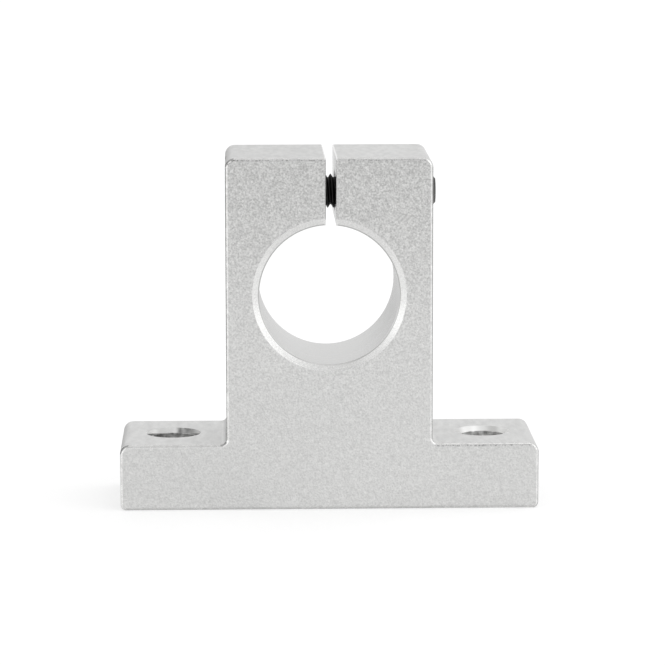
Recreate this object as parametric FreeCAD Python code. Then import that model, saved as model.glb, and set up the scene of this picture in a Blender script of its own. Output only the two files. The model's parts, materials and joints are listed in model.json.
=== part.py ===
import FreeCAD, Part
import math
import os

# Shaft support block: an upright aluminium block that carries one end of a round shaft.
# An extruded profile gives a wide foot and a narrower post. The post has a bore for the
# shaft, split up to the crown, and a cross screw pulls the two ears together to clamp it.
# All sizes are in millimetres. X runs across the foot, Y along the shaft and Z up.
# The origin is the middle of the mounting face, straight below the shaft.

# Shaft and its bore
shaft_diameter = 20.0
shaft_height = 31.0
bore_chamfer_width = 1.0
bore_chamfer_depth = 0.5

# Extruded profile of the block
block_length = 20.0
cheek_wall = 4.75
crown_wall = 1.0
foot_thickness = 9.5
foot_reach = 15.25
crown_radius = 1.4
root_radius = 0.8
foot_top_radius = 1.4
foot_sole_radius = 0.8
face_edge_radius = 0.5

# Slit from the bore to the crown
slit_width = 1.5
slit_offset = 0.25
slit_edge_break = 0.12

# Mounting holes in the foot
mounting_hole_diameter = 6.6
mounting_hole_end_distance = 7.5
mounting_hole_top_chamfer = 0.7
mounting_hole_sole_chamfer = 0.3

# Clamp screw, a socket head cap screw
thread_diameter = 5.0
screw_length = 25.0
tip_chamfer = 0.7
head_diameter = 8.5
head_height = 5.0
head_top_chamfer = 0.45
head_base_chamfer = 0.2
neck_fillet = 0.2
socket_across_flats = 4.0
socket_depth = 2.5
socket_lead_in = 0.15
socket_point_angle = 120.0

# Holes that the clamp screw passes through, and its fits
bore_to_screw_wall = 1.1
thread_clearance = 0.05
shank_clearance = 0.25
head_clearance = 0.5
head_recess = 0.3
counterbore_chamfer = 0.25
tapped_hole_chamfer = 0.35

# Every cutting shape runs this far past the face that it opens
cut_margin = 1.0

# Places worked out from the sizes above
bore_radius = shaft_diameter / 2
thread_radius = thread_diameter / 2
shank_hole_radius = thread_radius + shank_clearance
counterbore_radius = head_diameter / 2 + head_clearance
counterbore_depth = head_height + head_recess
screw_axis_height = shaft_height + bore_radius + bore_to_screw_wall + shank_hole_radius
post_half_width = bore_radius + cheek_wall
post_height = screw_axis_height + counterbore_radius + crown_wall
foot_half_width = post_half_width + foot_reach
half_length = block_length / 2
mounting_hole_offset = foot_half_width - mounting_hole_end_distance


def rounded_outline(corners):
    """Closed wire through (x, z, radius) corners in the XZ plane, each rounded by an arc."""
    points = [FreeCAD.Vector(x, 0, z) for x, z, radius in corners]
    runs = []
    arcs = []
    for i, (x, z, radius) in enumerate(corners):
        corner = points[i]
        back = (points[i - 1] - corner).normalize()
        ahead = (points[(i + 1) % len(points)] - corner).normalize()
        half_angle = back.getAngle(ahead) / 2
        tangent_length = radius / math.tan(half_angle)
        middle_distance = radius / math.sin(half_angle) - radius
        first = corner + back * tangent_length
        last = corner + ahead * tangent_length
        middle = corner + (back + ahead).normalize() * middle_distance
        arcs.append(Part.Arc(first, middle, last).toShape())
        runs.append((first, last))
    edges = []
    for i, arc in enumerate(arcs):
        next_first = runs[(i + 1) % len(runs)][0]
        edges.append(arc)
        edges.append(Part.LineSegment(runs[i][1], next_first).toShape())
    return Part.Wire(edges)


def turned(points, along):
    """Solid of revolution about a line through the origin, from (radius, distance) points."""
    corners = [FreeCAD.Vector(radius, 0, distance) for radius, distance in points]
    section = Part.Face(Part.makePolygon(corners + corners[:1]))
    upright = FreeCAD.Vector(0, 0, 1)
    solid = section.revolve(FreeCAD.Vector(0, 0, 0), upright, 360)
    swing = FreeCAD.Rotation(upright, along)
    solid.rotate(FreeCAD.Vector(0, 0, 0), swing.Axis, math.degrees(swing.Angle))
    return solid


def hole_cutter(radius, length, near_rim, far_rim, along, start):
    """Cutting shape of a drilled hole. Each rim is chamfered by its (width, depth)."""
    near_width, near_depth = near_rim
    far_width, far_depth = far_rim
    points = [
        (0, -cut_margin),
        (radius + near_width * (1 + cut_margin / near_depth), -cut_margin),
        (radius, near_depth),
        (radius, length - far_depth),
        (radius + far_width * (1 + cut_margin / far_depth), length + cut_margin),
        (0, length + cut_margin),
    ]
    cutter = turned(points, along)
    cutter.translate(start)
    return cutter


def profile_blank():
    """The extruded foot and post, with the edges of both sawn faces blasted round."""
    outline = rounded_outline([
        (-foot_half_width, 0, foot_sole_radius),
        (foot_half_width, 0, foot_sole_radius),
        (foot_half_width, foot_thickness, foot_top_radius),
        (post_half_width, foot_thickness, root_radius),
        (post_half_width, post_height, crown_radius),
        (-post_half_width, post_height, crown_radius),
        (-post_half_width, foot_thickness, root_radius),
        (-foot_half_width, foot_thickness, foot_top_radius),
    ])
    blank = Part.Face(outline).extrude(FreeCAD.Vector(0, block_length, 0))
    blank.translate(FreeCAD.Vector(0, -half_length, 0))
    rims = [edge for edge in blank.Edges if edge.BoundBox.YLength < half_length]
    return blank.makeFillet(face_edge_radius, rims)


def shaft_bore():
    """The bore for the shaft, along Y."""
    start = FreeCAD.Vector(0, -half_length, shaft_height)
    along = FreeCAD.Vector(0, 1, 0)
    rim = (bore_chamfer_width, bore_chamfer_depth)
    return hole_cutter(bore_radius, block_length, rim, rim, along, start)


def slit():
    """The slit above the bore, flared a little where it meets the sawn faces and the crown."""
    half = slit_width / 2
    flare = slit_edge_break + cut_margin
    plan = [
        (-half, -half_length + slit_edge_break),
        (-half - flare, -half_length - cut_margin),
        (half + flare, -half_length - cut_margin),
        (half, -half_length + slit_edge_break),
        (half, half_length - slit_edge_break),
        (half + flare, half_length + cut_margin),
        (-half - flare, half_length + cut_margin),
        (-half, half_length - slit_edge_break),
    ]
    corners = [FreeCAD.Vector(x, y, shaft_height) for x, y in plan]
    rise = FreeCAD.Vector(0, 0, post_height + cut_margin - shaft_height)
    gap = Part.Face(Part.makePolygon(corners + corners[:1])).extrude(rise)
    mouth = [
        (-half, post_height - slit_edge_break),
        (half, post_height - slit_edge_break),
        (half + flare, post_height + cut_margin),
        (-half - flare, post_height + cut_margin),
    ]
    corners = [FreeCAD.Vector(x, -half_length - cut_margin, z) for x, z in mouth]
    run = FreeCAD.Vector(0, block_length + 2 * cut_margin, 0)
    gap = gap.fuse(Part.Face(Part.makePolygon(corners + corners[:1])).extrude(run))
    gap.translate(FreeCAD.Vector(slit_offset, 0, 0))
    return gap


def mounting_holes():
    """The two holes through the foot."""
    up = FreeCAD.Vector(0, 0, 1)
    radius = mounting_hole_diameter / 2
    sole = (mounting_hole_sole_chamfer, mounting_hole_sole_chamfer)
    top = (mounting_hole_top_chamfer, mounting_hole_top_chamfer)
    cutters = []
    for side in (-1, 1):
        start = FreeCAD.Vector(side * mounting_hole_offset, 0, 0)
        cutters.append(hole_cutter(radius, foot_thickness, sole, top, up, start))
    return cutters


def screw_holes():
    """Counterbore and clearance hole in the left ear, and the tapped hole in the right ear."""
    along = FreeCAD.Vector(1, 0, 0)
    left_face = FreeCAD.Vector(-post_half_width, 0, screw_axis_height)
    right_wall = slit_offset + slit_width / 2
    slit_wall = FreeCAD.Vector(right_wall, 0, screw_axis_height)
    seat = [
        (0, -cut_margin),
        (counterbore_radius + counterbore_chamfer + cut_margin, -cut_margin),
        (counterbore_radius, counterbore_chamfer),
        (counterbore_radius, counterbore_depth),
        (shank_hole_radius, counterbore_depth),
        (shank_hole_radius, post_half_width + slit_offset),
        (0, post_half_width + slit_offset),
    ]
    counterbore = turned(seat, along)
    counterbore.translate(left_face)
    ear_length = post_half_width - right_wall
    chamfer = tapped_hole_chamfer
    tapped_hole = turned([
        (0, -slit_width / 2),
        (thread_radius + chamfer, -slit_width / 2),
        (thread_radius + chamfer, 0),
        (thread_radius, chamfer),
        (thread_radius, ear_length - chamfer),
        (thread_radius + chamfer + cut_margin, ear_length + cut_margin),
        (0, ear_length + cut_margin),
    ], along)
    tapped_hole.translate(slit_wall)
    return [counterbore, tapped_hole]


def support_block():
    """The block: one piece of extrusion, sawn to length, bored, slit and drilled."""
    cutters = [shaft_bore(), slit()] + mounting_holes() + screw_holes()
    return profile_blank().cut(cutters).removeSplitter()


def socket_cutter():
    """The hexagon socket, with its drill point and lead-in, entered from the origin along Z."""
    corner_radius = socket_across_flats / 2 / math.cos(math.radians(30))
    corners = []
    for step in range(6):
        angle = math.radians(60 * step)
        x = corner_radius * math.cos(angle)
        y = corner_radius * math.sin(angle)
        corners.append(FreeCAD.Vector(x, y, -cut_margin))
    depth = FreeCAD.Vector(0, 0, socket_depth + cut_margin)
    hexagon = Part.Face(Part.makePolygon(corners + corners[:1])).extrude(depth)
    flat_radius = socket_across_flats / 2
    point_depth = flat_radius / math.tan(math.radians(socket_point_angle / 2))
    axis = FreeCAD.Vector(0, 0, 1)
    drill_point = turned([
        (0, 0),
        (flat_radius, 0),
        (flat_radius, socket_depth),
        (0, socket_depth + point_depth),
    ], axis)
    lead_in = turned([
        (0, -cut_margin),
        (corner_radius + socket_lead_in + cut_margin, -cut_margin),
        (corner_radius - socket_lead_in, 2 * socket_lead_in),
        (0, 2 * socket_lead_in),
    ], axis)
    return [hexagon, drill_point, lead_in]


def clamp_screw():
    """The cap screw, turned about X, with its head seated in the counterbore."""
    head_radius = head_diameter / 2
    crest_radius = thread_radius - thread_clearance
    tip = head_height + screw_length
    section = [
        (0, 0),
        (head_radius - head_top_chamfer, 0),
        (head_radius, head_top_chamfer),
        (head_radius, head_height - head_base_chamfer),
        (head_radius - head_base_chamfer, head_height),
        (crest_radius, head_height),
        (crest_radius, tip - tip_chamfer),
        (crest_radius - tip_chamfer, tip),
        (0, tip),
    ]
    screw = turned(section, FreeCAD.Vector(0, 0, 1))
    neck = [
        e for e in screw.Edges
        if abs(e.BoundBox.ZMin - head_height) < neck_fillet / 2
        and abs(e.BoundBox.ZMax - head_height) < neck_fillet / 2
        and abs(e.BoundBox.XMax - crest_radius) < neck_fillet / 2
    ]
    screw = screw.makeFillet(neck_fillet, neck).cut(socket_cutter())
    screw.rotate(FreeCAD.Vector(0, 0, 0), FreeCAD.Vector(0, 1, 0), 90)
    screw.translate(FreeCAD.Vector(head_recess - post_half_width, 0, screw_axis_height))
    return screw


def main():
    os.makedirs("parts", exist_ok=True)
    pieces = {"support_block": support_block(), "clamp_screw": clamp_screw()}
    for name, shape in pieces.items():
        shape.exportStep(f"parts/{name}.step")
        box = shape.BoundBox
        print(name, "valid", shape.isValid(), "solids", len(shape.Solids), "faces", len(shape.Faces))
        print("  X", round(box.XMin, 2), round(box.XMax, 2), "Z", round(box.ZMin, 2), round(box.ZMax, 2))
        print("  volume", round(shape.Volume, 1), "cubic millimetres")


main()
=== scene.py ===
# %% [markdown]
# # A shaft support block, dressed for its portrait
#
# The object is an aluminium block that holds the end of a round shaft. A wide foot bolts down,
# a post rises from it with a bore for the shaft, and a cross screw closes a slit above the bore.
# The solids come from a CAD model, which is the fixed frame here: this file adds finishes, a
# finely modelled screw, light and a camera, and it never moves or resizes the block.

# %% Load the fixed frame
import json
import math
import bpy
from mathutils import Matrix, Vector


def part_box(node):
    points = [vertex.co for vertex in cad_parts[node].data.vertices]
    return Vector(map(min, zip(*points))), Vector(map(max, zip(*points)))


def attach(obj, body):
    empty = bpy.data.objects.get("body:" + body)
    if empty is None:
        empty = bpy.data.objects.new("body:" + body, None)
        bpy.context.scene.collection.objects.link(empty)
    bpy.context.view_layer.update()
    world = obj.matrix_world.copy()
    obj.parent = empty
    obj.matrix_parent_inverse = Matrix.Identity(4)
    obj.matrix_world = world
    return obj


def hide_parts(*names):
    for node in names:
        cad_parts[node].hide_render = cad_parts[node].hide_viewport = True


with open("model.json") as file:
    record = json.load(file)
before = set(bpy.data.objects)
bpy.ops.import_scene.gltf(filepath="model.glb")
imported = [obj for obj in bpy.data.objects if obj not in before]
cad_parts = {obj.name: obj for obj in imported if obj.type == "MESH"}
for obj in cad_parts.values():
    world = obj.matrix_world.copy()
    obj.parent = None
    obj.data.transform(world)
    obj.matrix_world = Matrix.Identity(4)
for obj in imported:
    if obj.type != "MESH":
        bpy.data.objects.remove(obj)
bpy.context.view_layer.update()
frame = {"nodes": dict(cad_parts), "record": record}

from types import SimpleNamespace

import bmesh
import bpy
import numpy as np
from mathutils import Euler, Vector

# %% [markdown]
# ## The sizes that everything hangs on
#
# The finishes change from place to place: blasted on the sawn faces, smooth in the bore, dark in
# the holes. To know where it is, a finish needs the same centres and radii as the model, so they
# are read from the frame's record and boxes. Blender works in metres, while a machinist thinks in
# millimetres, so the block, the screw and the camera's place are given in millimetres and scaled
# once. Only the floor and the camera's settings are in Blender's own units.

# %% Read the sizes, in millimetres
MILLIMETRE = 0.001

mounts = {mount["name"]: mount for mount in frame["record"]["mounts"]}
bore_radius = mounts["shaft_bore"]["dims"]["r_mm"]
bore_height = mounts["shaft_bore"]["pos_m"][2] / MILLIMETRE
hole_radius = mounts["base_bolts"]["dims"]["hole_r_mm"]
hole_offset = mounts["base_bolts"]["dims"]["spacing_x_mm"] / 2
screw_height = mounts["hex_socket"]["pos_m"][2] / MILLIMETRE
block_low, block_high = [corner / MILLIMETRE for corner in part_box("support_block")]
screw_low, screw_high = [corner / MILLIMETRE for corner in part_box("clamp_screw")]
half_length = block_high.y
print("block from", [round(part, 2) for part in block_low], "to", [round(part, 2) for part in block_high])
print("bore", round(bore_radius, 2), "at height", round(bore_height, 2))
print("holes", round(hole_radius, 2), "at", round(hole_offset, 2), "each side of the middle")
print("screw from", round(screw_low.x, 2), "to", round(screw_high.x, 2), "at", round(screw_height, 2))

# %% [markdown]
# ## Shader sums written as sums
#
# A procedural material is arithmetic on positions and noise. Wiring that by hand takes dozens of
# nodes that nobody can read back, so one small class wraps a node's output and lets plain Python
# signs add the Math nodes. Anything that isn't arithmetic goes through a single method, which
# takes a node type, its settings, and the values or links of its sockets.

# %% A node output that can be used in a sum
class Field:
    """A value, colour or vector that varies from place to place: one output of a node."""

    def __init__(self, tree, socket=None):
        self.tree = tree
        self.socket = socket

    def make(self, kind, settings=None, values=None, output=0):
        """Add a node, set it up, fill its sockets and return one of its outputs."""
        node = self.tree.nodes.new(kind)
        for name, value in (settings or {}).items():
            setattr(node, name, value)
        for name, value in (values or {}).items():
            if isinstance(value, Field):
                self.tree.links.new(value.socket, node.inputs[name])
            else:
                node.inputs[name].default_value = value
        return Field(self.tree, node.outputs[output])

    def sum_of(self, operation, first, second=0.0):
        return self.make("ShaderNodeMath", {"operation": operation}, {0: first, 1: second})

    def __add__(self, other):
        return self.sum_of("ADD", self, other)

    def __radd__(self, other):
        return self.sum_of("ADD", other, self)

    def __sub__(self, other):
        return self.sum_of("SUBTRACT", self, other)

    def __rsub__(self, other):
        return self.sum_of("SUBTRACT", other, self)

    def __mul__(self, other):
        return self.sum_of("MULTIPLY", self, other)

    def __rmul__(self, other):
        return self.sum_of("MULTIPLY", other, self)

    def __abs__(self):
        return self.sum_of("ABSOLUTE", self)

    def larger(self, other):
        return self.sum_of("MAXIMUM", self, other)

    def rise(self, low, high):
        """0 up to low and 1 from high on, with a smooth step between them."""
        limits = {"Value": self, "From Min": low, "From Max": high}
        return self.make("ShaderNodeMapRange", {"interpolation_type": "SMOOTHSTEP"}, limits)

    def drop(self, low, high):
        """1 up to low and 0 from high on."""
        return 1 - self.rise(low, high)

    def between(self, start, full, last, end):
        """1 from full to last, and 0 up to start and from end on."""
        return self.rise(start, full) * self.drop(last, end)

    def towards(self, value, mask):
        """This field where the mask is 0, and value where it is 1."""
        blend = {"Factor": mask, 2: self, 3: value}
        return self.make("ShaderNodeMix", {"data_type": "FLOAT"}, blend)


def distance(first, second):
    """How far a place is from an axis, given its two offsets."""
    square = first * first + second * second
    return square.sum_of("SQRT", square)


def axes_of(vector):
    """The three parts of a vector field."""
    return [vector.make("ShaderNodeSeparateXYZ", None, {0: vector}, part) for part in range(3)]


def noise(vector, scale, detail=2.0, roughness=0.5):
    """Soft noise, about 0.5 on average, with roughly scale humps to each unit of the vector."""
    values = {"Vector": vector, "Scale": scale, "Detail": detail, "Roughness": roughness}
    return vector.make("ShaderNodeTexNoise", None, values)


def stretched(vector, x, y, z):
    """The vector with each part scaled by its own factor."""
    values = {0: vector, 1: (x, y, z)}
    return vector.make("ShaderNodeVectorMath", {"operation": "MULTIPLY"}, values)


print("one class and four helpers carry the shader sums")

# %% [markdown]
# ## Where on the block am I?
#
# The block is one solid, but five tools have left their marks on it: the extrusion die, the saw
# and the blasting of its sawn faces, the boring bar, the drill, and the slitting saw. Separate
# material slots would need face numbers that change with every new model. Masks worked out from
# position and normal need only the sizes above, and they follow the block if it changes. Each
# mask is 1 on its own place and 0 elsewhere, and fades over a few hundredths of a millimetre.

# %% A spot of the surface, and the masks of the sawn faces and the bore
FADE = 0.05
ON_WALL = (0.03, 0.08)
SAWN_FACING = (0.93, 0.99)
BORE_RIM_WIDTH = 1.15
BORE_RIM_DEPTH = 0.65
BORE_LIP = (0.12, 0.22)


def in_millimetres(place):
    """A place in Blender's metres, in millimetres."""
    return stretched(place, 1 / MILLIMETRE, 1 / MILLIMETRE, 1 / MILLIMETRE)


def spot_of(surface):
    """Where a spot is, in millimetres, and which way it faces."""
    place = in_millimetres(surface.make("ShaderNodeTexCoord", None, None, "Object"))
    normal = surface.make("ShaderNodeTexCoord", None, None, "Normal")
    x, y, z = axes_of(place)
    nx, ny, nz = axes_of(normal)
    return SimpleNamespace(place=place, x=x, y=y, z=z, nx=nx, ny=ny, nz=nz)


def bore_masks(at, masks):
    """The sawn faces, the bore's wall, the chamfer at each mouth, and the lip where they meet."""
    sawn = abs(at.ny).rise(*SAWN_FACING)
    from_wall = distance(at.x, at.z - bore_height) - bore_radius
    wall = from_wall.drop(*ON_WALL)
    near_bore = from_wall.drop(BORE_RIM_WIDTH, BORE_RIM_WIDTH + 2 * FADE)
    rim_start = half_length - BORE_RIM_DEPTH
    rim = near_bore * abs(at.y).rise(rim_start, rim_start + FADE) * (1 - sawn) * (1 - wall)
    return {
        "sawn": sawn,
        "cut": 1 - sawn,
        "bore": wall,
        "bore_rim": rim,
        "bore_lip": rim * from_wall.drop(*BORE_LIP),
        "off_bore": 1 - near_bore,
    }


print("the bore's rim is", BORE_RIM_WIDTH, "millimetres wide")

# %% [markdown]
# ## Rims, with painted highlights and shade, and a painted nick and burr
#
# Blasting and handling wear the rounded rims of the sawn faces, and where they face sideways they
# carry a painted highlight too. A broken line of painted shade runs just inside them on the crown
# and on the right foot. Upper left corners and the rims on the right lie in painted shade. At the
# root of the post's left side, a small spot of painted shade stands for a nick, beside a painted
# glint that stands for a burr.

# %% Masks of the rims and of two small marks
EDGE_WIDTH = 0.55
RIGHT_FOOT = (14, 16)
CROWN = (44, 46)
FOOT_SHINE = 0.6

# How much a rim's normal has of one direction, where a part of it starts, is full and ends.
OUTER_HALF = (0.35, 0.60, 0.74, 0.84)
WHOLE_RIM = (0.35, 0.60, 0.94, 0.98)
INNER_LINE = (0.74, 0.82, 0.992, 0.998)
SIDEWAYS = (0.05, 0.35)
UPWARDS = (0.05, 0.12)
LEANING = (0.08, 0.16)
LEFT_END = (0.72, 0.84)
RIGHT_END = (0.62, 0.78)

NICK_SHADE_SPOT = (-15.45, 9.55)
BURR_GLINT_SPOT = (-14.85, 10.1)
MARK_SIZE = (0.15, 0.35)
MARK_DEPTH = 0.4


def edge_masks(at, masks):
    """The rims of the two sawn faces: all of them, the worn parts with painted highlights, and the broken
    lines and corners in painted shade.
    """
    facing = abs(at.ny)
    edge_start = half_length - EDGE_WIDTH
    rim = abs(at.y).rise(edge_start, edge_start + 2 * FADE) * masks["off_bore"]
    on_foot = at.x.rise(*RIGHT_FOOT)
    outer_half = facing.between(*OUTER_HALF) * on_foot * FOOT_SHINE
    sideways = facing.between(*WHOLE_RIM) * abs(at.nx).rise(*SIDEWAYS)
    inside = facing.between(*INNER_LINE) * at.nz.rise(*UPWARDS)
    upper_left = at.nz.rise(*LEANING) * (0 - at.nx).rise(*LEANING) * facing.drop(*LEFT_END)
    return {
        "edge": rim * masks["cut"],
        "worn_edge_highlight": rim * sideways.larger(outer_half),
        "shade_under_edge": rim * inside * at.z.rise(*CROWN).larger(on_foot),
        "left_corner": rim * upper_left,
        "right_edge": rim * at.nx.rise(*LEANING) * facing.drop(*RIGHT_END),
    }


def mark_masks(at, masks):
    """The spots for the nick's painted shade and the burr's painted glint."""
    mark_start = half_length - MARK_DEPTH
    at_face = abs(at.y).rise(mark_start, mark_start + 2 * FADE)
    nick_shade, burr_glint = [distance(at.x - x, at.z - z).drop(*MARK_SIZE) for x, z in (NICK_SHADE_SPOT, BURR_GLINT_SPOT)]
    return {"nick_shade": at_face * nick_shade, "burr_glint": at_face * burr_glint}


print("the rims are", EDGE_WIDTH, "millimetres wide")

# %% [markdown]
# ## Holes, the slit and a dark patch
#
# The screw runs across the slit, so its hole has three widths: a counterbore for the head on the
# left, a clearance hole, and a tapped hole on the right. The hole, the head's seat and a band round
# the tapped hole's upper mouth in the slit get painted shade. A dark patch, painted with the same
# tone, lies on the slit's right wall, just above the thread.

# %% Masks of the holes and the slit
COUNTERSINK_REACH = 0.72
SHADED_STRETCH_SPAN = (-22.4, -21.5, -20.1, -18.8)
COUNTERBORE_REACH = 5.05
SEAT_REACH = 5.3
CROSS_HOLE_REACH = 2.9
MOUTH_SHADE_WIDTH = (0.25, 0.35)
MOUTH_SHADE_SPAN = (5, 6)
SLIT_MIDDLE = 0.25
SLIT_REACH = 0.9
RIGHT_WALL = (SLIT_MIDDLE, SLIT_MIDDLE + 0.1)
WALL_PATCH_HEIGHTS = (1.0, 1.2, 2.6, 2.8)
WALL_PATCH_DEPTHS = (-9.5, -9.0, 3, 4)
WALL_PATCH_SLOPE = 0.11


def hole_masks(at, masks):
    """The mounting holes' walls and chamfers, and the stretch of the left chamfer that gets painted
    shade.
    """
    from_wall = distance(abs(at.x) - hole_offset, at.y) - hole_radius
    wall = from_wall.drop(*ON_WALL)
    near_hole = from_wall.drop(COUNTERSINK_REACH, COUNTERSINK_REACH + FADE)
    chamfer = near_hole * (1 - wall) * abs(at.nz).drop(0.9, 0.97)
    return {"hole": wall, "hole_rim": chamfer, "painted_shade_stretch": at.x.between(*SHADED_STRETCH_SPAN)}


def screw_hole_mask(at):
    """Where the screw's hole gets painted shade: the cross hole, a band round its upper mouth in the
    slit, and the seat of the screw's head.
    """
    from_screw = distance(at.y, at.z - screw_height)
    narrow = from_screw.drop(CROSS_HOLE_REACH, CROSS_HOLE_REACH + FADE)
    mouth = (from_screw - CROSS_HOLE_REACH).drop(*MOUTH_SHADE_WIDTH) * (at.z - screw_height).rise(-0.5, 0.5)
    mouth = mouth * at.x.between(*RIGHT_WALL, *MOUTH_SHADE_SPAN)
    seat_end = screw_low.x + SEAT_REACH
    wide = from_screw.drop(COUNTERBORE_REACH, COUNTERBORE_REACH + FADE)
    return narrow.larger(mouth).larger(wide * at.x.drop(seat_end, seat_end + 2 * FADE))


def slit_masks(at, masks):
    """The slit, the screw's hole, and the dark patch on the slit's right wall."""
    in_slit = abs(at.x - SLIT_MIDDLE).drop(SLIT_REACH, SLIT_REACH + FADE)
    above_bore = (at.z - bore_height - bore_radius).rise(-0.1, 0)
    slit = in_slit * above_bore * masks["cut"] * (1 - masks["bore"])
    height = at.z - screw_height + WALL_PATCH_SLOPE * at.y
    wall_patch = height.between(*WALL_PATCH_HEIGHTS) * at.y.between(*WALL_PATCH_DEPTHS)
    wall_patch = wall_patch * slit * at.x.rise(*RIGHT_WALL)
    return {"slit": slit, "screw_hole": screw_hole_mask(at), "wall_patch": wall_patch}


def block_masks(at):
    """One mask for each of the block's places."""
    masks = {}
    for find_masks in (bore_masks, edge_masks, mark_masks, hole_masks, slit_masks):
        masks.update(find_masks(at, masks))
    return masks


print("the slit is", SLIT_MIDDLE, "millimetres right of the post's middle")

# %% [markdown]
# ## The patterns that the tools left
#
# Fine grit leaves a grain of about a quarter of a millimetre on the sawn faces. The extruded
# faces keep faint die lines along the shaft's direction, and the bore and the holes carry rings
# from the tool. Photographs of metal could be wrapped round the block instead, but they would
# stretch at the rims. Noise worked out from the place has no seams: it is stretched one way or
# another for each tool, and has 0 in the middle. A few short diagonal scratches lie to the right
# of the slit, just above the bore.

# %% Tool marks as noise
GRAIN_SIZE = 0.235
DIE_LINE_SIZE = 0.35
TOOL_MARK_SIZE = 0.12
SCRATCH_PLACE = (10.65, 41.95)
SCRATCH_TURNS = 8.2


def patterns_of(place):
    """The noises of the finish, each with 0 in the middle."""
    die = 1 / DIE_LINE_SIZE
    tool = 1 / TOOL_MARK_SIZE
    return SimpleNamespace(
        fine=noise(place, 1 / GRAIN_SIZE, 1.0, 0.6) - 0.5,
        coarse=noise(place, 0.35 / GRAIN_SIZE, 2.0, 0.5) - 0.5,
        cloud=noise(place, 0.09, 3.0, 0.5) - 0.5,
        streaks=noise(stretched(place, 1.2, 0.35, 1.2), 1.0, 2.0, 0.5) - 0.5,
        die_lines=noise(stretched(place, die, 0.02, die), 1.0, 3.0, 0.6) - 0.5,
        bored=noise(stretched(place, 0.03, tool, 0.03), 1.0, 2.0, 0.6) - 0.5,
        drilled=noise(stretched(place, 0.05, 0.05, tool), 1.0, 2.0, 0.6) - 0.5,
    )


def scratches(at):
    """A patch of short diagonal strokes: where it is, and the strokes from -1 to 1."""
    x = at.x - SCRATCH_PLACE[0]
    z = at.z - SCRATCH_PLACE[1]
    patch = distance(x * 0.6, z * 1.6).drop(0.6, 1.0)
    return patch, x.sum_of("SINE", (x - z) * SCRATCH_TURNS)


print("the grain is", GRAIN_SIZE, "millimetres wide")

# %% [markdown]
# ## Blasted, drawn and cut aluminium
#
# Bare aluminium is all reflection: its colour hardly changes, and what the eye reads is how light
# and how rough each place is. Lightness runs from 0, which reflects nothing, to 1. The faces come
# first, and each place that a tool cut later covers what was there before. Chamfers are the
# brightest, because they were cut last and never blasted.

# %% How light the faces and the rims are
DRAWN = 0.66
BLASTED = 0.70
WORN_EDGE_HIGHLIGHT = 0.85
LEFT_SHADE = 0.36
RIGHT_SHADE = 0.55


def drawn_lightness(at, marks):
    """The extruded faces, with painted shade that darkens the crown, most of all on its left."""
    base = DRAWN - at.z.rise(45, 50) * (0.055 - at.x.rise(-5, 5) * 0.035)
    return base + marks.streaks * (0.25 - abs(at.nx) * 0.12) + marks.die_lines * 0.03


def blasted_lightness(at, marks):
    """The sawn faces, with a stronger grain towards the crown and painted shade that darkens them there.
    """
    patch, strokes = scratches(at)
    strength = 0.36 + 0.36 * at.z.rise(5, 50)
    grain = (marks.fine * strength + marks.coarse * 0.10) * (1 - patch * 0.6)
    right_foot = at.x.rise(8, 26) * at.z.drop(8, 12)
    # Painted shade: darker towards the crown, and a touch darker on the right foot.
    base = BLASTED - 0.075 * at.z.rise(22, 50) - 0.012 * right_foot
    return base + grain + marks.cloud * 0.03 + strokes * patch * 0.075


def add_edges(lightness, at, masks, marks):
    """Worn rims with painted highlights, broken lines of painted shade inside them, painted shade on
    corners, the nick's painted shade and the burr's painted glint.
    """
    lightness = lightness.towards(DRAWN + marks.coarse * 0.3, masks["edge"])
    # Painted highlight, with some wear, where the rims face sideways.
    lightness = lightness.towards(WORN_EDGE_HIGHLIGHT + marks.coarse * 0.6, masks["worn_edge_highlight"])
    # Painted shade: a broken dark line just inside the rims, deeper at the crown's left.
    dashes = (marks.fine + marks.coarse * 0.5).rise(0.02, 0.12)
    crown_left = at.x.drop(-13.4, -12.4) * at.z.rise(48, 49)
    depth = 0.04 + dashes * (0.26 + crown_left * 0.22)
    lightness = lightness - masks["shade_under_edge"] * depth
    # Painted lightness: shade on the upper left corners, on the rims on the right and in the nick, and a
    # glint on the burr.
    shades = {"left_corner": LEFT_SHADE, "right_edge": RIGHT_SHADE, "nick_shade": 0.35, "burr_glint": 1.0}
    for name, shade in shades.items():
        lightness = lightness.towards(shade, masks[name])
    return lightness


print("blasted faces reflect", BLASTED, "and drawn ones", DRAWN)

# %% [markdown]
# ## Bored, drilled and sawn places
#
# The boring bar leaves the smoothest wall of the block, an even grey, and its chamfers flash, with
# a painted highlight towards their sides. The drill leaves the mounting holes duller. The left
# hole's wall gets painted shade, and so do the lower part and a streaky stretch of its chamfer,
# while both chamfers get painted light and shade along their length. The slit is sawn and bright,
# with a painted highlight on its corners and painted light on its walls, while the screw's hole
# lies in its own painted shade. The light alone would not tell these places apart, because they
# have the same metal, so each one gets its own lightness.

# %% How light the bore, the holes and the slit are
BORED = 0.635
BORE_CHAMFER = 0.79
BORE_LINE = 0.48
DRILLED = 0.52
SHADED_STRETCH_TONE = 0.36
FOOT_TOP = 9.5
SLIT_CORNER_HIGHLIGHT = 0.83
SLIT_WALL = 0.62
UNLIT = 0.14


def add_bore(lightness, at, masks, marks):
    """The bore's wall, its bright chamfers with a painted highlight towards their sides, and a thin dark
    line between them.
    """
    lightness = lightness.towards(BORED + marks.bored * 0.05, masks["bore"])
    # Painted highlight: the chamfer is lighter towards its left and right sides.
    chamfer = BORE_CHAMFER + 0.07 * abs(at.x).rise(7, 10)
    chamfer = chamfer + marks.bored * 0.06 + marks.fine * 0.30
    lightness = lightness.towards(chamfer, masks["bore_rim"])
    lowest = abs(at.x).drop(2, 5) * (at.z - bore_height).drop(-5, 0)
    return lightness.towards(BORE_LINE + 0.24 * lowest, masks["bore_lip"])


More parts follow.
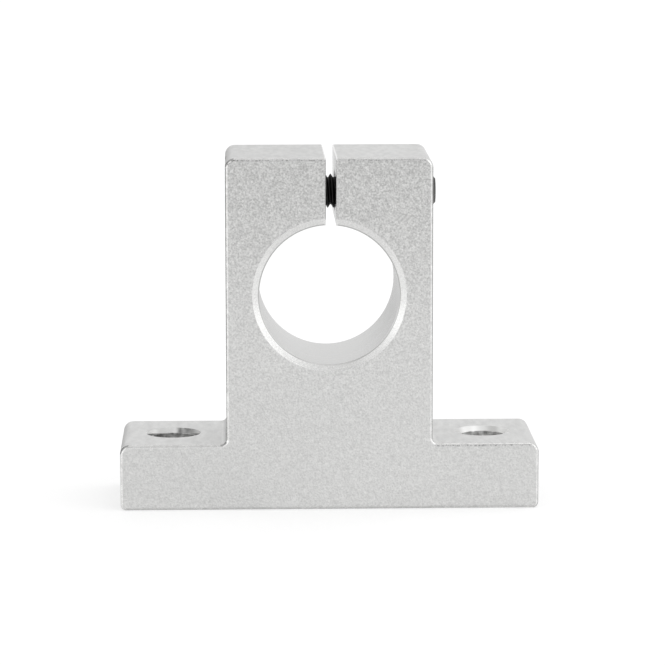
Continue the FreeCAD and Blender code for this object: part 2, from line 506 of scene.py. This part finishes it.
def hole_chamfer(at, masks, marks):
    """Painted light on the holes' chamfers: the left one bright, in painted shade low down and on a
    streaky stretch; the right one lighter and darker in turn across it.
    """
    # Painted highlights and shade round both chamfers, from end to end.
    shaded = (at.z + at.y * 0.15 - FOOT_TOP).drop(-0.24, -0.14)
    left = 0.90 - 0.18 * at.x.rise(-23.6, -22.8) + marks.streaks * 0.1
    left = left.towards(0.25, shaded)
    left = left.towards(SHADED_STRETCH_TONE + marks.streaks * 0.7, masks["painted_shade_stretch"])
    right = 0.68 + 0.11 * at.x.rise(20.8, 21.8) - 0.15 * at.x.rise(23.4, 24.2)
    right = right + 0.38 * at.x.rise(24.6, 25.7)
    return left.towards(right, at.x.rise(-5, 5))


def add_holes(lightness, at, masks, marks):
    """The mounting holes, with painted shade that makes the left one darker than the right."""
    # Painted shade: the left hole's wall is darker than the right one's.
    wall = DRILLED + 0.14 * at.x.rise(-5, 5) + marks.drilled * 0.3 + marks.streaks * 1.2
    lightness = lightness.towards(wall, masks["hole"])
    return lightness.towards(hole_chamfer(at, masks, marks), masks["hole_rim"])


def add_slit(lightness, at, masks, marks):
    """The slit, with a painted highlight on its broken corners and painted light on its walls that grows
    towards the back, the screw's hole and the dark patch.
    """
    facing_across = abs(at.nx).rise(0.80, 0.95)
    lines = marks.die_lines * 0.1
    # Painted light: the corners are lighter than the walls, and the walls lighter towards the back.
    in_slit = (SLIT_CORNER_HIGHLIGHT + lines).towards(SLIT_WALL + 0.012 * at.y + lines, facing_across)
    lightness = lightness.towards(in_slit, masks["slit"])
    # Painted shade in the screw's hole and the same dark tone on the wall patch.
    unlit = masks["screw_hole"].larger(masks["wall_patch"])
    return lightness.towards(UNLIT + marks.drilled * 0.1, unlit)


print("the bore reflects", BORED, "and its chamfers", BORE_CHAMFER)

# %% [markdown]
# ## Roughness, relief and the whole finish
#
# Roughness decides how sharp the mirrored room is: broad on the blasted faces, narrow in the slit
# and on the rims. The relief is at most a few hundredths of a millimetre deep. Modelled, it would
# take millions of faces, so it stays in the finish as a bump.

# %% The finish of the block
NO_REFLECTION = (0.0, 0.0, 0.0, 1.0)
FULL_REFLECTION = (1.0, 1.0, 0.99, 1.0)


def roughness_of(at, masks, marks):
    """The drawn faces' roughness, covered place by place."""
    roughness = 0.40 + marks.die_lines * 0.10 + marks.cloud * 0.06
    far_side = abs(abs(at.x) - hole_offset).rise(2.2, 3.4)
    places = {
        "sawn": 0.52 + marks.fine * 0.30,
        "edge": 0.26 + marks.coarse * 0.2,
        "bore": 0.30 + marks.bored * 0.20,
        "bore_rim": 0.26 + marks.bored * 0.20,
        "hole": 0.60,
        "hole_rim": 0.30 + 0.35 * far_side.larger(masks["painted_shade_stretch"]),
        "slit": 0.18,
        "screw_hole": 0.34,
    }
    for name, value in places.items():
        roughness = roughness.towards(value, masks[name])
    return roughness


def relief_of(masks, marks):
    """Height over the surface, in millimetres."""
    grain = marks.fine * 0.060 + marks.coarse * 0.030
    relief = (marks.die_lines * 0.004).towards(grain, masks["sawn"])
    relief = relief.towards(marks.bored * 0.004, masks["bore"].larger(masks["bore_rim"]))
    return relief.towards(marks.drilled * 0.012, masks["hole"].larger(masks["screw_hole"]))


def new_material(name, metallic):
    """A material with a Principled shader, and a field to build nodes from."""
    material = bpy.data.materials.new(name)
    material.use_nodes = True
    tree = material.node_tree
    shader = next(node for node in tree.nodes if node.type == "BSDF_PRINCIPLED")
    shader.inputs["Metallic"].default_value = metallic
    return material, shader, Field(tree)


def finish(shader, tint, dark, light, roughness, relief):
    """Wire up a tint between two colours, a roughness, and a relief in millimetres."""
    colours = {"Factor": tint, 6: dark, 7: light}
    colour = tint.make("ShaderNodeMix", {"data_type": "RGBA"}, colours, 2)
    heights = {"Height": relief, "Distance": MILLIMETRE, "Strength": 1.0}
    bump = relief.make("ShaderNodeBump", None, heights)
    for field, socket in ((colour, "Base Color"), (roughness, "Roughness"), (bump, "Normal")):
        field.tree.links.new(field.socket, shader.inputs[socket])


def blasted_aluminium():
    """The whole finish of the block."""
    material, shader, surface = new_material("blasted_aluminium", 1.0)
    at = spot_of(surface)
    masks = block_masks(at)
    marks = patterns_of(at.place)
    lightness = drawn_lightness(at, marks)
    lightness = lightness.towards(blasted_lightness(at, marks), masks["sawn"])
    for add_place in (add_edges, add_bore, add_holes, add_slit):
        lightness = add_place(lightness, at, masks, marks)
    roughness = roughness_of(at, masks, marks)
    finish(shader, lightness, NO_REFLECTION, FULL_REFLECTION, roughness, relief_of(masks, marks))
    return material


block = frame["nodes"]["support_block"]
block_finish = blasted_aluminium()
for material_slot in block.material_slots:
    material_slot.material = block_finish
print("block finish has", len(block_finish.node_tree.nodes), "nodes")

# %% [markdown]
# ## The clamp screw's thread
#
# A screw is a lathe part, so its surface is a grid: columns round the axis, rows along it. A
# thread winds, and if the rows were plain rings, each ring would cut across crests and roots and
# leave them ragged. Here each row follows the helix at one spot of the thread's profile, so a few
# rows a turn give a true crest, flank and rounded root.

# %% Sizes of the screw and the profile of its thread
COLUMNS = 96
PITCH = 0.8
THREAD_RADIUS = 2.5
HEAD_HEIGHT = 5.0
SOCKET_FLATS = 4.0
SOCKET_DEPTH = 2.5
SOCKET_MOUTH = 0.15
SHANK_CLEARANCE = 0.05
PLAIN_NECK = 1.5
TIP_CHAMFER = 0.7

# The profile, in pitches: half a crest, where the root's arc starts, its radius, the whole depth,
# how far the thread is wound on so that its crests show in the slit where they should, and the
# spots of the profile that get a row.
CREST_HALF = 0.0625
ROOT_START = 0.3753
ROOT_RADIUS = 0.144
CUT_DEPTH = 0.6134
CREST_SHIFT = 0.3125
FLANK_SLOPE = math.tan(math.radians(30))
THREAD_SPOTS = [-0.0625, 0.0625, 0.2189, 0.3753, 0.4376, 0.5, 0.5624, 0.6247, 0.7811]

screw_start = screw_low.x
screw_end = screw_high.x
head_radius = screw_high.z - screw_height
crest_radius = THREAD_RADIUS - SHANK_CLEARANCE
underside = screw_start + HEAD_HEIGHT
thread_start = underside + PLAIN_NECK
turn = np.arange(COLUMNS) / COLUMNS


def thread_cut(phase):
    """How deep the thread is cut at a phase, where 0 is the middle of a crest, in pitches."""
    off_crest = np.abs((phase + 0.5) % 1 - 0.5)
    flank = (off_crest - CREST_HALF) / FLANK_SLOPE
    off_root = np.minimum(0.5 - off_crest, ROOT_RADIUS)
    root = CUT_DEPTH - ROOT_RADIUS + np.sqrt(ROOT_RADIUS**2 - off_root**2)
    return np.where(off_crest > ROOT_START, root, np.maximum(flank, 0)) * PITCH


print("thread is", round(CUT_DEPTH * PITCH, 3), "deep on a radius of", crest_radius)

# %% [markdown]
# ## Rings, rows and one closed skin
#
# The head, its knurl, the hexagon socket, the neck, the thread and the tip are all drawn as
# (along, radius) pairs for the same 96 columns, so they join into one skin with nothing left
# open. 96 divides by six, so the socket's corners fall on columns, and by two, so each tooth of
# the knurl is one column up and one down. The socket's mouth is a cone that meets six flats: the
# depth at which they meet is worked out for each column, which gives the scalloped edge of a real
# socket.

# %% Rings of the head
def hexagon_radius():
    """Distance from the axis to the socket's wall at each column, with flats facing the shaft."""
    angle = (turn * 360 + 30) % 60 - 30
    return SOCKET_FLATS / 2 / np.cos(np.radians(angle))


def ring(along, radius):
    """One ring of the skin: (columns, 2) of along and radius."""
    pair = [np.broadcast_to(along, COLUMNS), np.broadcast_to(radius, COLUMNS)]
    return np.stack(pair, axis=1).astype(float)


def rounded(centre_along, centre_radius, size, first, last, steps):
    """Rings round an arc. Angles run from the direction of the axis, in degrees."""
    rings = []
    for angle in np.radians(np.linspace(first, last, steps)):
        along = centre_along + size * math.cos(angle)
        rings.append(ring(along, centre_radius + size * math.sin(angle)))
    return rings


KNURL_DEPTH = 0.13
HEAD_EDGE = 0.45
UNDER_EDGE = 0.2
NECK_FILLET = 0.2
BAND = 0.3
POINT_STEP = 0.05
POINT_ANGLE = 60

hexagon = hexagon_radius()
corner = hexagon.max()
mouth_radius = corner + SOCKET_MOUTH
turned_radius = head_radius - KNURL_DEPTH / 2
knurl = head_radius - KNURL_DEPTH * (np.arange(COLUMNS) % 2)
point_radius = SOCKET_FLATS / 2 - POINT_STEP
point_depth = point_radius / math.tan(math.radians(POINT_ANGLE))

head_rings = [
    ring(screw_start + SOCKET_DEPTH + point_depth, 0),
    ring(screw_start + SOCKET_DEPTH, point_radius),
    ring(screw_start + SOCKET_DEPTH, hexagon),
    ring(screw_start + mouth_radius - hexagon, hexagon),
    ring(screw_start, mouth_radius),
]
edge_centre = screw_start + HEAD_EDGE
head_rings += rounded(edge_centre, turned_radius - HEAD_EDGE, HEAD_EDGE, 180, 90, 6)
head_rings += [
    ring(screw_start + HEAD_EDGE + BAND / 2, turned_radius),
    ring(screw_start + HEAD_EDGE + BAND, knurl),
    ring(underside - UNDER_EDGE - BAND, knurl),
    ring(underside - UNDER_EDGE - BAND / 2, turned_radius),
]
head_rings += rounded(underside - UNDER_EDGE, turned_radius - UNDER_EDGE, UNDER_EDGE, 90, 0, 4)
neck_radius = crest_radius + NECK_FILLET
head_rings += rounded(underside + NECK_FILLET, neck_radius, NECK_FILLET, 180, 270, 4)
head_rings.append(ring(thread_start, crest_radius))
print(len(head_rings), "rings for the head")

# %% [markdown]
# ## Winding rows for the thread
#
# The thread is cut while the screw turns, so its groove winds round the shank. A Screw modifier
# could sweep the profile, but its ends would stay open and wouldn't meet the head's rings. Rows
# that wind and are held back at both ends join the rings point by point. The groove fades in over
# the first turn, as it does behind a real die, and a cone cuts the crests at the tip.

# %% Rows of the thread, and the tip
def thread_rows():
    """(rows, columns, 2) of along and radius, each row winding along the thread."""
    first_turn = math.floor(thread_start / PITCH) - 2
    last_turn = math.ceil(screw_end / PITCH) + 2
    spots = [count + spot for count in range(first_turn, last_turn) for spot in THREAD_SPOTS]
    phases = np.array(spots)[:, None] + turn[None, :]
    along = np.clip((phases + CREST_SHIFT) * PITCH, thread_start, screw_end)
    fade = np.clip((along - thread_start) / PITCH, 0, 1)
    cut = thread_cut(along / PITCH - turn[None, :] - CREST_SHIFT) * fade
    tip_cone = crest_radius - TIP_CHAMFER + (screw_end - along)
    radius = np.minimum(crest_radius - cut, tip_cone)
    return np.stack([along, radius], axis=2)


def grid_faces(rows, first_index, shift=0):
    """Quads of a grid of rows by COLUMNS. The last column joins the first one, shift rows on."""
    faces = []
    for row in range(rows - 1 - shift):
        for column in range(COLUMNS):
            here = row * COLUMNS + column
            wraps = column == COLUMNS - 1
            beside = (row + shift) * COLUMNS if wraps else here + 1
            quad = (here, beside, beside + COLUMNS, here + COLUMNS)
            faces.append([first_index + corner for corner in quad])
    return faces


rows = thread_rows()
tip_rings = np.stack([ring(screw_end, crest_radius - TIP_CHAMFER), ring(screw_end, 0)])
print(len(rows), "rows for the thread")

# %% [markdown]
# ## From rings and rows to one mesh
#
# Each grid is turned about the screw's axis into points and quads. Where rows are held back, many
# points fall on one spot, and the head, the thread and the tip share their end rings. Merging
# equal points closes all of these seams at once, and it keeps the even rows that a boolean or a
# remesh would break up. The number of open edges is printed, and it has to be 0.

# %% Make a mesh from along and radius, with equal points merged
SHARP_ANGLE = 28


def turned_points(grids):
    """The points and quads of (grid, shift) pairs, turned about the screw's axis."""
    points = []
    faces = []
    angle = turn * 2 * math.pi
    for grid, shift in grids:
        faces += grid_faces(len(grid), len(points) * COLUMNS, shift)
        for along, radius in (row.T for row in grid):
            across = radius * np.cos(angle)
            up = screw_height + radius * np.sin(angle)
            points.append(np.stack([along, across, up], axis=1))
    return np.concatenate(points), faces


def merged(points, faces):
    """Equal points as one, and the faces without corners that fell together."""
    kept, number = np.unique(points.round(5), axis=0, return_inverse=True)
    number = number.ravel()
    whole = []
    for face in faces:
        corners = [int(number[i]) for i in face]
        corners = [c for i, c in enumerate(corners) if c != corners[i - 1]]
        if len(corners) > 2:
            whole.append(corners)
    return kept, whole


def skin(name, grids, body, material):
    """A closed piece from (grid, shift) pairs of along and radius."""
    points, faces = merged(*turned_points(grids))
    mesh = bpy.data.meshes.new(name)
    mesh.from_pydata((points * MILLIMETRE).tolist(), [], faces)
    shell = bmesh.new()
    shell.from_mesh(mesh)
    bmesh.ops.recalc_face_normals(shell, faces=shell.faces)
    open_edges = sum(not edge.is_manifold for edge in shell.edges)
    shell.to_mesh(mesh)
    shell.free()
    mesh.polygons.foreach_set("use_smooth", [True] * len(mesh.polygons))
    mesh.set_sharp_from_angle(angle=math.radians(SHARP_ANGLE))
    mesh.materials.append(material)
    piece = bpy.data.objects.new(name, mesh)
    bpy.context.scene.collection.objects.link(piece)
    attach(piece, body)
    print(name, len(mesh.vertices), "points", len(mesh.polygons), "faces", open_edges, "open edges")
    return piece


# %% [markdown]
# ## Black oxide on the screw
#
# The screw is steel under a black oxide that is dark, a little oily and slightly uneven. Most of
# it is a weak, broad reflection over near black. Where the wrench and the tapped hole rub, on the
# crests and the rim of the head, the oxide is thinner and a bit lighter. The tip is greyer, and
# its lower half is lighter still with painted light from the table.

# %% The finish of the screw
OXIDE = (0.012, 0.012, 0.013, 1.0)
THIN_OXIDE = (0.150, 0.147, 0.142, 1.0)
OXIDE_TINT = 0.135
CREST_BAND = 0.06
TIP_START = (-0.75, -0.65)


def black_steel():
    """The whole finish of the screw."""
    material, shader, surface = new_material("black_steel", 0.6)
    place = in_millimetres(surface.make("ShaderNodeTexCoord", None, None, "Object"))
    x, y, z = axes_of(place)
    from_axis = distance(y, z - screw_height)
    mottle = noise(place, 2.2, 4.0, 0.6) - 0.5
    grain = noise(place, 14.0, 2.0, 0.6) - 0.5
    head_crest = (from_axis - head_radius).rise(-CREST_BAND, 0)
    thread_crest = (from_axis - crest_radius).rise(-CREST_BAND, 0)
    rubbed = head_crest.towards(thread_crest, x.rise(underside, underside + 0.1))
    rubbed = rubbed * (0.5 + mottle * 2.0)
    on_tip = (x - screw_end).rise(*TIP_START)
    # Painted light: the lower half of the tip is lighter, as if lit from the table.
    painted_table_light = (z - screw_height).drop(-1, 2)
    tint = OXIDE_TINT + mottle * 0.38 + rubbed * 0.15 + on_tip * (0.10 + painted_table_light * 0.75)
    roughness = 0.42 + mottle * 0.25 + grain * 0.15 - rubbed * 0.08
    finish(shader, tint, OXIDE, THIN_OXIDE, roughness, grain * 0.004 + mottle * 0.004)
    return material


screw_grids = [(np.stack(head_rings), 0), (rows, len(THREAD_SPOTS)), (tip_rings, 0)]
screw = skin("black_cap_screw", screw_grids, "screw", black_steel())
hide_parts("clamp_screw")

# %% [markdown]
# ## A white studio
#
# The portrait is a cut-out look: white all round, with a soft shadow where the foot meets the
# table. Metal shows what surrounds it, so the surroundings are the real lighting: a pale room,
# brighter low on the left and right, high on the right and behind the camera, because those are
# the places that the front's chamfers and rounded rims mirror. Behind the block two darker
# stretches, a strong one on the left and a weak one on the right, draw the thin dark lines at the
# corners, and the room is a little dimmer high up behind the camera. All of it is one world
# shader that works from the direction of a ray, and the camera itself sees plain white.

# %% The room as a world shader
ROOM_LEVEL = 0.96

# Each patch has its azimuths, 0 behind the block and 90 on the right, its elevations, how softly
# it ends, all in degrees, and what it adds to the level.
PATCHES = [
    ((50, 135), (-20, 36), 12, 0.26),
    ((-140, -75), (-20, 10), 10, 0.32),
    ((30, 125), (34, 75), 10, 0.35),
    ((-62, -26), (-14, 32), 6, -0.72),
    ((36, 62), (14, 28), 6, -0.35),
    ((-164, -140), (28, 60), 8, -0.16),
]
PATCHES_ON_BOTH_SIDES = [
    ((152, 200), (-10, 26), 12, 0.25),
    ((164, 200), (32, 60), 10, -0.16),
]


def white_room():
    """The world: lit patches round the block, and plain white for the camera itself."""
    world = bpy.data.worlds.new("white_room")
    world.use_nodes = True
    tree = world.node_tree
    tree.nodes.clear()
    sky = Field(tree)
    dx, dy, dz = axes_of(sky.make("ShaderNodeTexCoord", None, None, "Generated"))
    azimuth = sky.sum_of("ARCTAN2", dx, dy) * math.degrees(1)
    elevation = sky.sum_of("ARCSINE", dz) * math.degrees(1)
    level = ROOM_LEVEL
    for around, patches in ((azimuth, PATCHES), (abs(azimuth), PATCHES_ON_BOTH_SIDES)):
        for (left, right), (low, high), soft, change in patches:
            inside = around.between(left - soft, left, right, right + soft)
            inside = inside * elevation.between(low - soft, low, high, high + soft)
            level = level + inside * change
    level = level.towards(1.0, sky.make("ShaderNodeLightPath", None, None, "Is Camera Ray"))
    background = sky.make("ShaderNodeBackground", None, {"Color": (1, 1, 1, 1), "Strength": level})
    output = tree.nodes.new("ShaderNodeOutputWorld")
    tree.links.new(background.socket, output.inputs["Surface"])
    return world


bpy.context.scene.world = white_room()
print("world has", len(bpy.context.scene.world.node_tree.nodes), "nodes")

# %% [markdown]
# ## The table
#
# The floor is a plain pale sheet. A little glow that only the camera and mirror-like rays see
# lifts it to the white of the backdrop, and the rest is ordinary diffuse white, which keeps the
# block's contact shadow. The post's top mirrors the table far in front of it, where a real sheet
# ends, so mirror-like rays find a darker table there, and darker patches behind the block too.

# %% The floor
FLOOR_HALF = 3.0
SHEET_WHITE = 0.50
SHEET_DARK = 0.05
CAMERA_GLOW = 0.54
METAL_GLOW = 0.41
FRONT_DARK = 0.60
LEFT_DARK = 0.80
RIGHT_DARK = 0.45
BEHIND = (8, 40)


def dark_patches(surface):
    """Where mirrors find a darker table: far in front, and in two places behind the block."""
    position = surface.make("ShaderNodeNewGeometry", None, None, "Position")
    x, y, z = axes_of(in_millimetres(position))
    past_front = y.drop(-300, -120) * abs(x).drop(60, 140) * FRONT_DARK
    behind_left = (-0.4 * y - x).rise(*BEHIND) * y.rise(*BEHIND) * LEFT_DARK
    behind_right = (x - 0.4 * y).rise(*BEHIND) * y.rise(*BEHIND) * RIGHT_DARK
    return past_front.larger(behind_left).larger(behind_right)


def sheet(surface, white):
    """A diffuse shader of one grey."""
    colour = (white, white, white, 1)
    return surface.make("ShaderNodeBsdfDiffuse", None, {"Color": colour})


def pale_floor():
    """The floor's finish: a diffuse sheet, a glow for chosen rays, and the dark patches."""
    material = bpy.data.materials.new("pale_floor")
    material.use_nodes = True
    tree = material.node_tree
    tree.nodes.clear()
    surface = Field(tree)
    kinds = ("Is Camera Ray", "Is Glossy Ray", "Is Transmission Ray")
    rays = [surface.make("ShaderNodeLightPath", None, None, kind) for kind in kinds]
    to_camera, to_metal, to_glass = rays
    glow = to_camera * CAMERA_GLOW + to_metal.larger(to_glass) * METAL_GLOW
    light = surface.make("ShaderNodeEmission", None, {"Color": (1, 1, 1, 1), "Strength": glow})
    both = surface.make("ShaderNodeAddShader", None, {0: sheet(surface, SHEET_WHITE), 1: light})
    mirrored = {0: dark_patches(surface) * to_metal, 1: both, 2: sheet(surface, SHEET_DARK)}
    final = surface.make("ShaderNodeMixShader", None, mirrored)
    output = tree.nodes.new("ShaderNodeOutputMaterial")
    tree.links.new(final.socket, output.inputs["Surface"])
    return material


corners = [(-FLOOR_HALF, -FLOOR_HALF, 0), (FLOOR_HALF, -FLOOR_HALF, 0),
           (FLOOR_HALF, FLOOR_HALF, 0), (-FLOOR_HALF, FLOOR_HALF, 0)]
floor_mesh = bpy.data.meshes.new("floor")
floor_mesh.from_pydata(corners, [], [(0, 1, 2, 3)])
floor_mesh.materials.append(pale_floor())
floor = bpy.data.objects.new("floor", floor_mesh)
bpy.context.scene.collection.objects.link(floor)
print("floor is", 2 * FLOOR_HALF, "metres across")

# %% [markdown]
# ## The camera
#
# The portrait was taken from far off with a long lens, almost straight on and a little from
# above, so the post's sides hide behind its front face. The place and tilt below were worked out
# from the block's edges and circles, and the long lens keeps its nearly parallel lines.

# %% The camera
CAMERA_PLACE = (-13.376, -493.663, 101.006)
CAMERA_TILT = (81.1512, 0.0929, -1.6482)
LENS = 186.242
SENSOR_WIDTH = 36
NEAREST = 0.01

camera_data = bpy.data.cameras.new("camera")
camera_data.sensor_width = SENSOR_WIDTH
camera_data.lens = LENS
camera_data.clip_start = NEAREST
camera = bpy.data.objects.new("camera", camera_data)
camera.location = Vector(CAMERA_PLACE) * MILLIMETRE
camera.rotation_euler = Euler([math.radians(angle) for angle in CAMERA_TILT])
bpy.context.scene.collection.objects.link(camera)
bpy.context.scene.camera = camera
bpy.context.scene.view_settings.view_transform = "Standard"
print("camera stands", round(-CAMERA_PLACE[1]), "millimetres in front of the block")
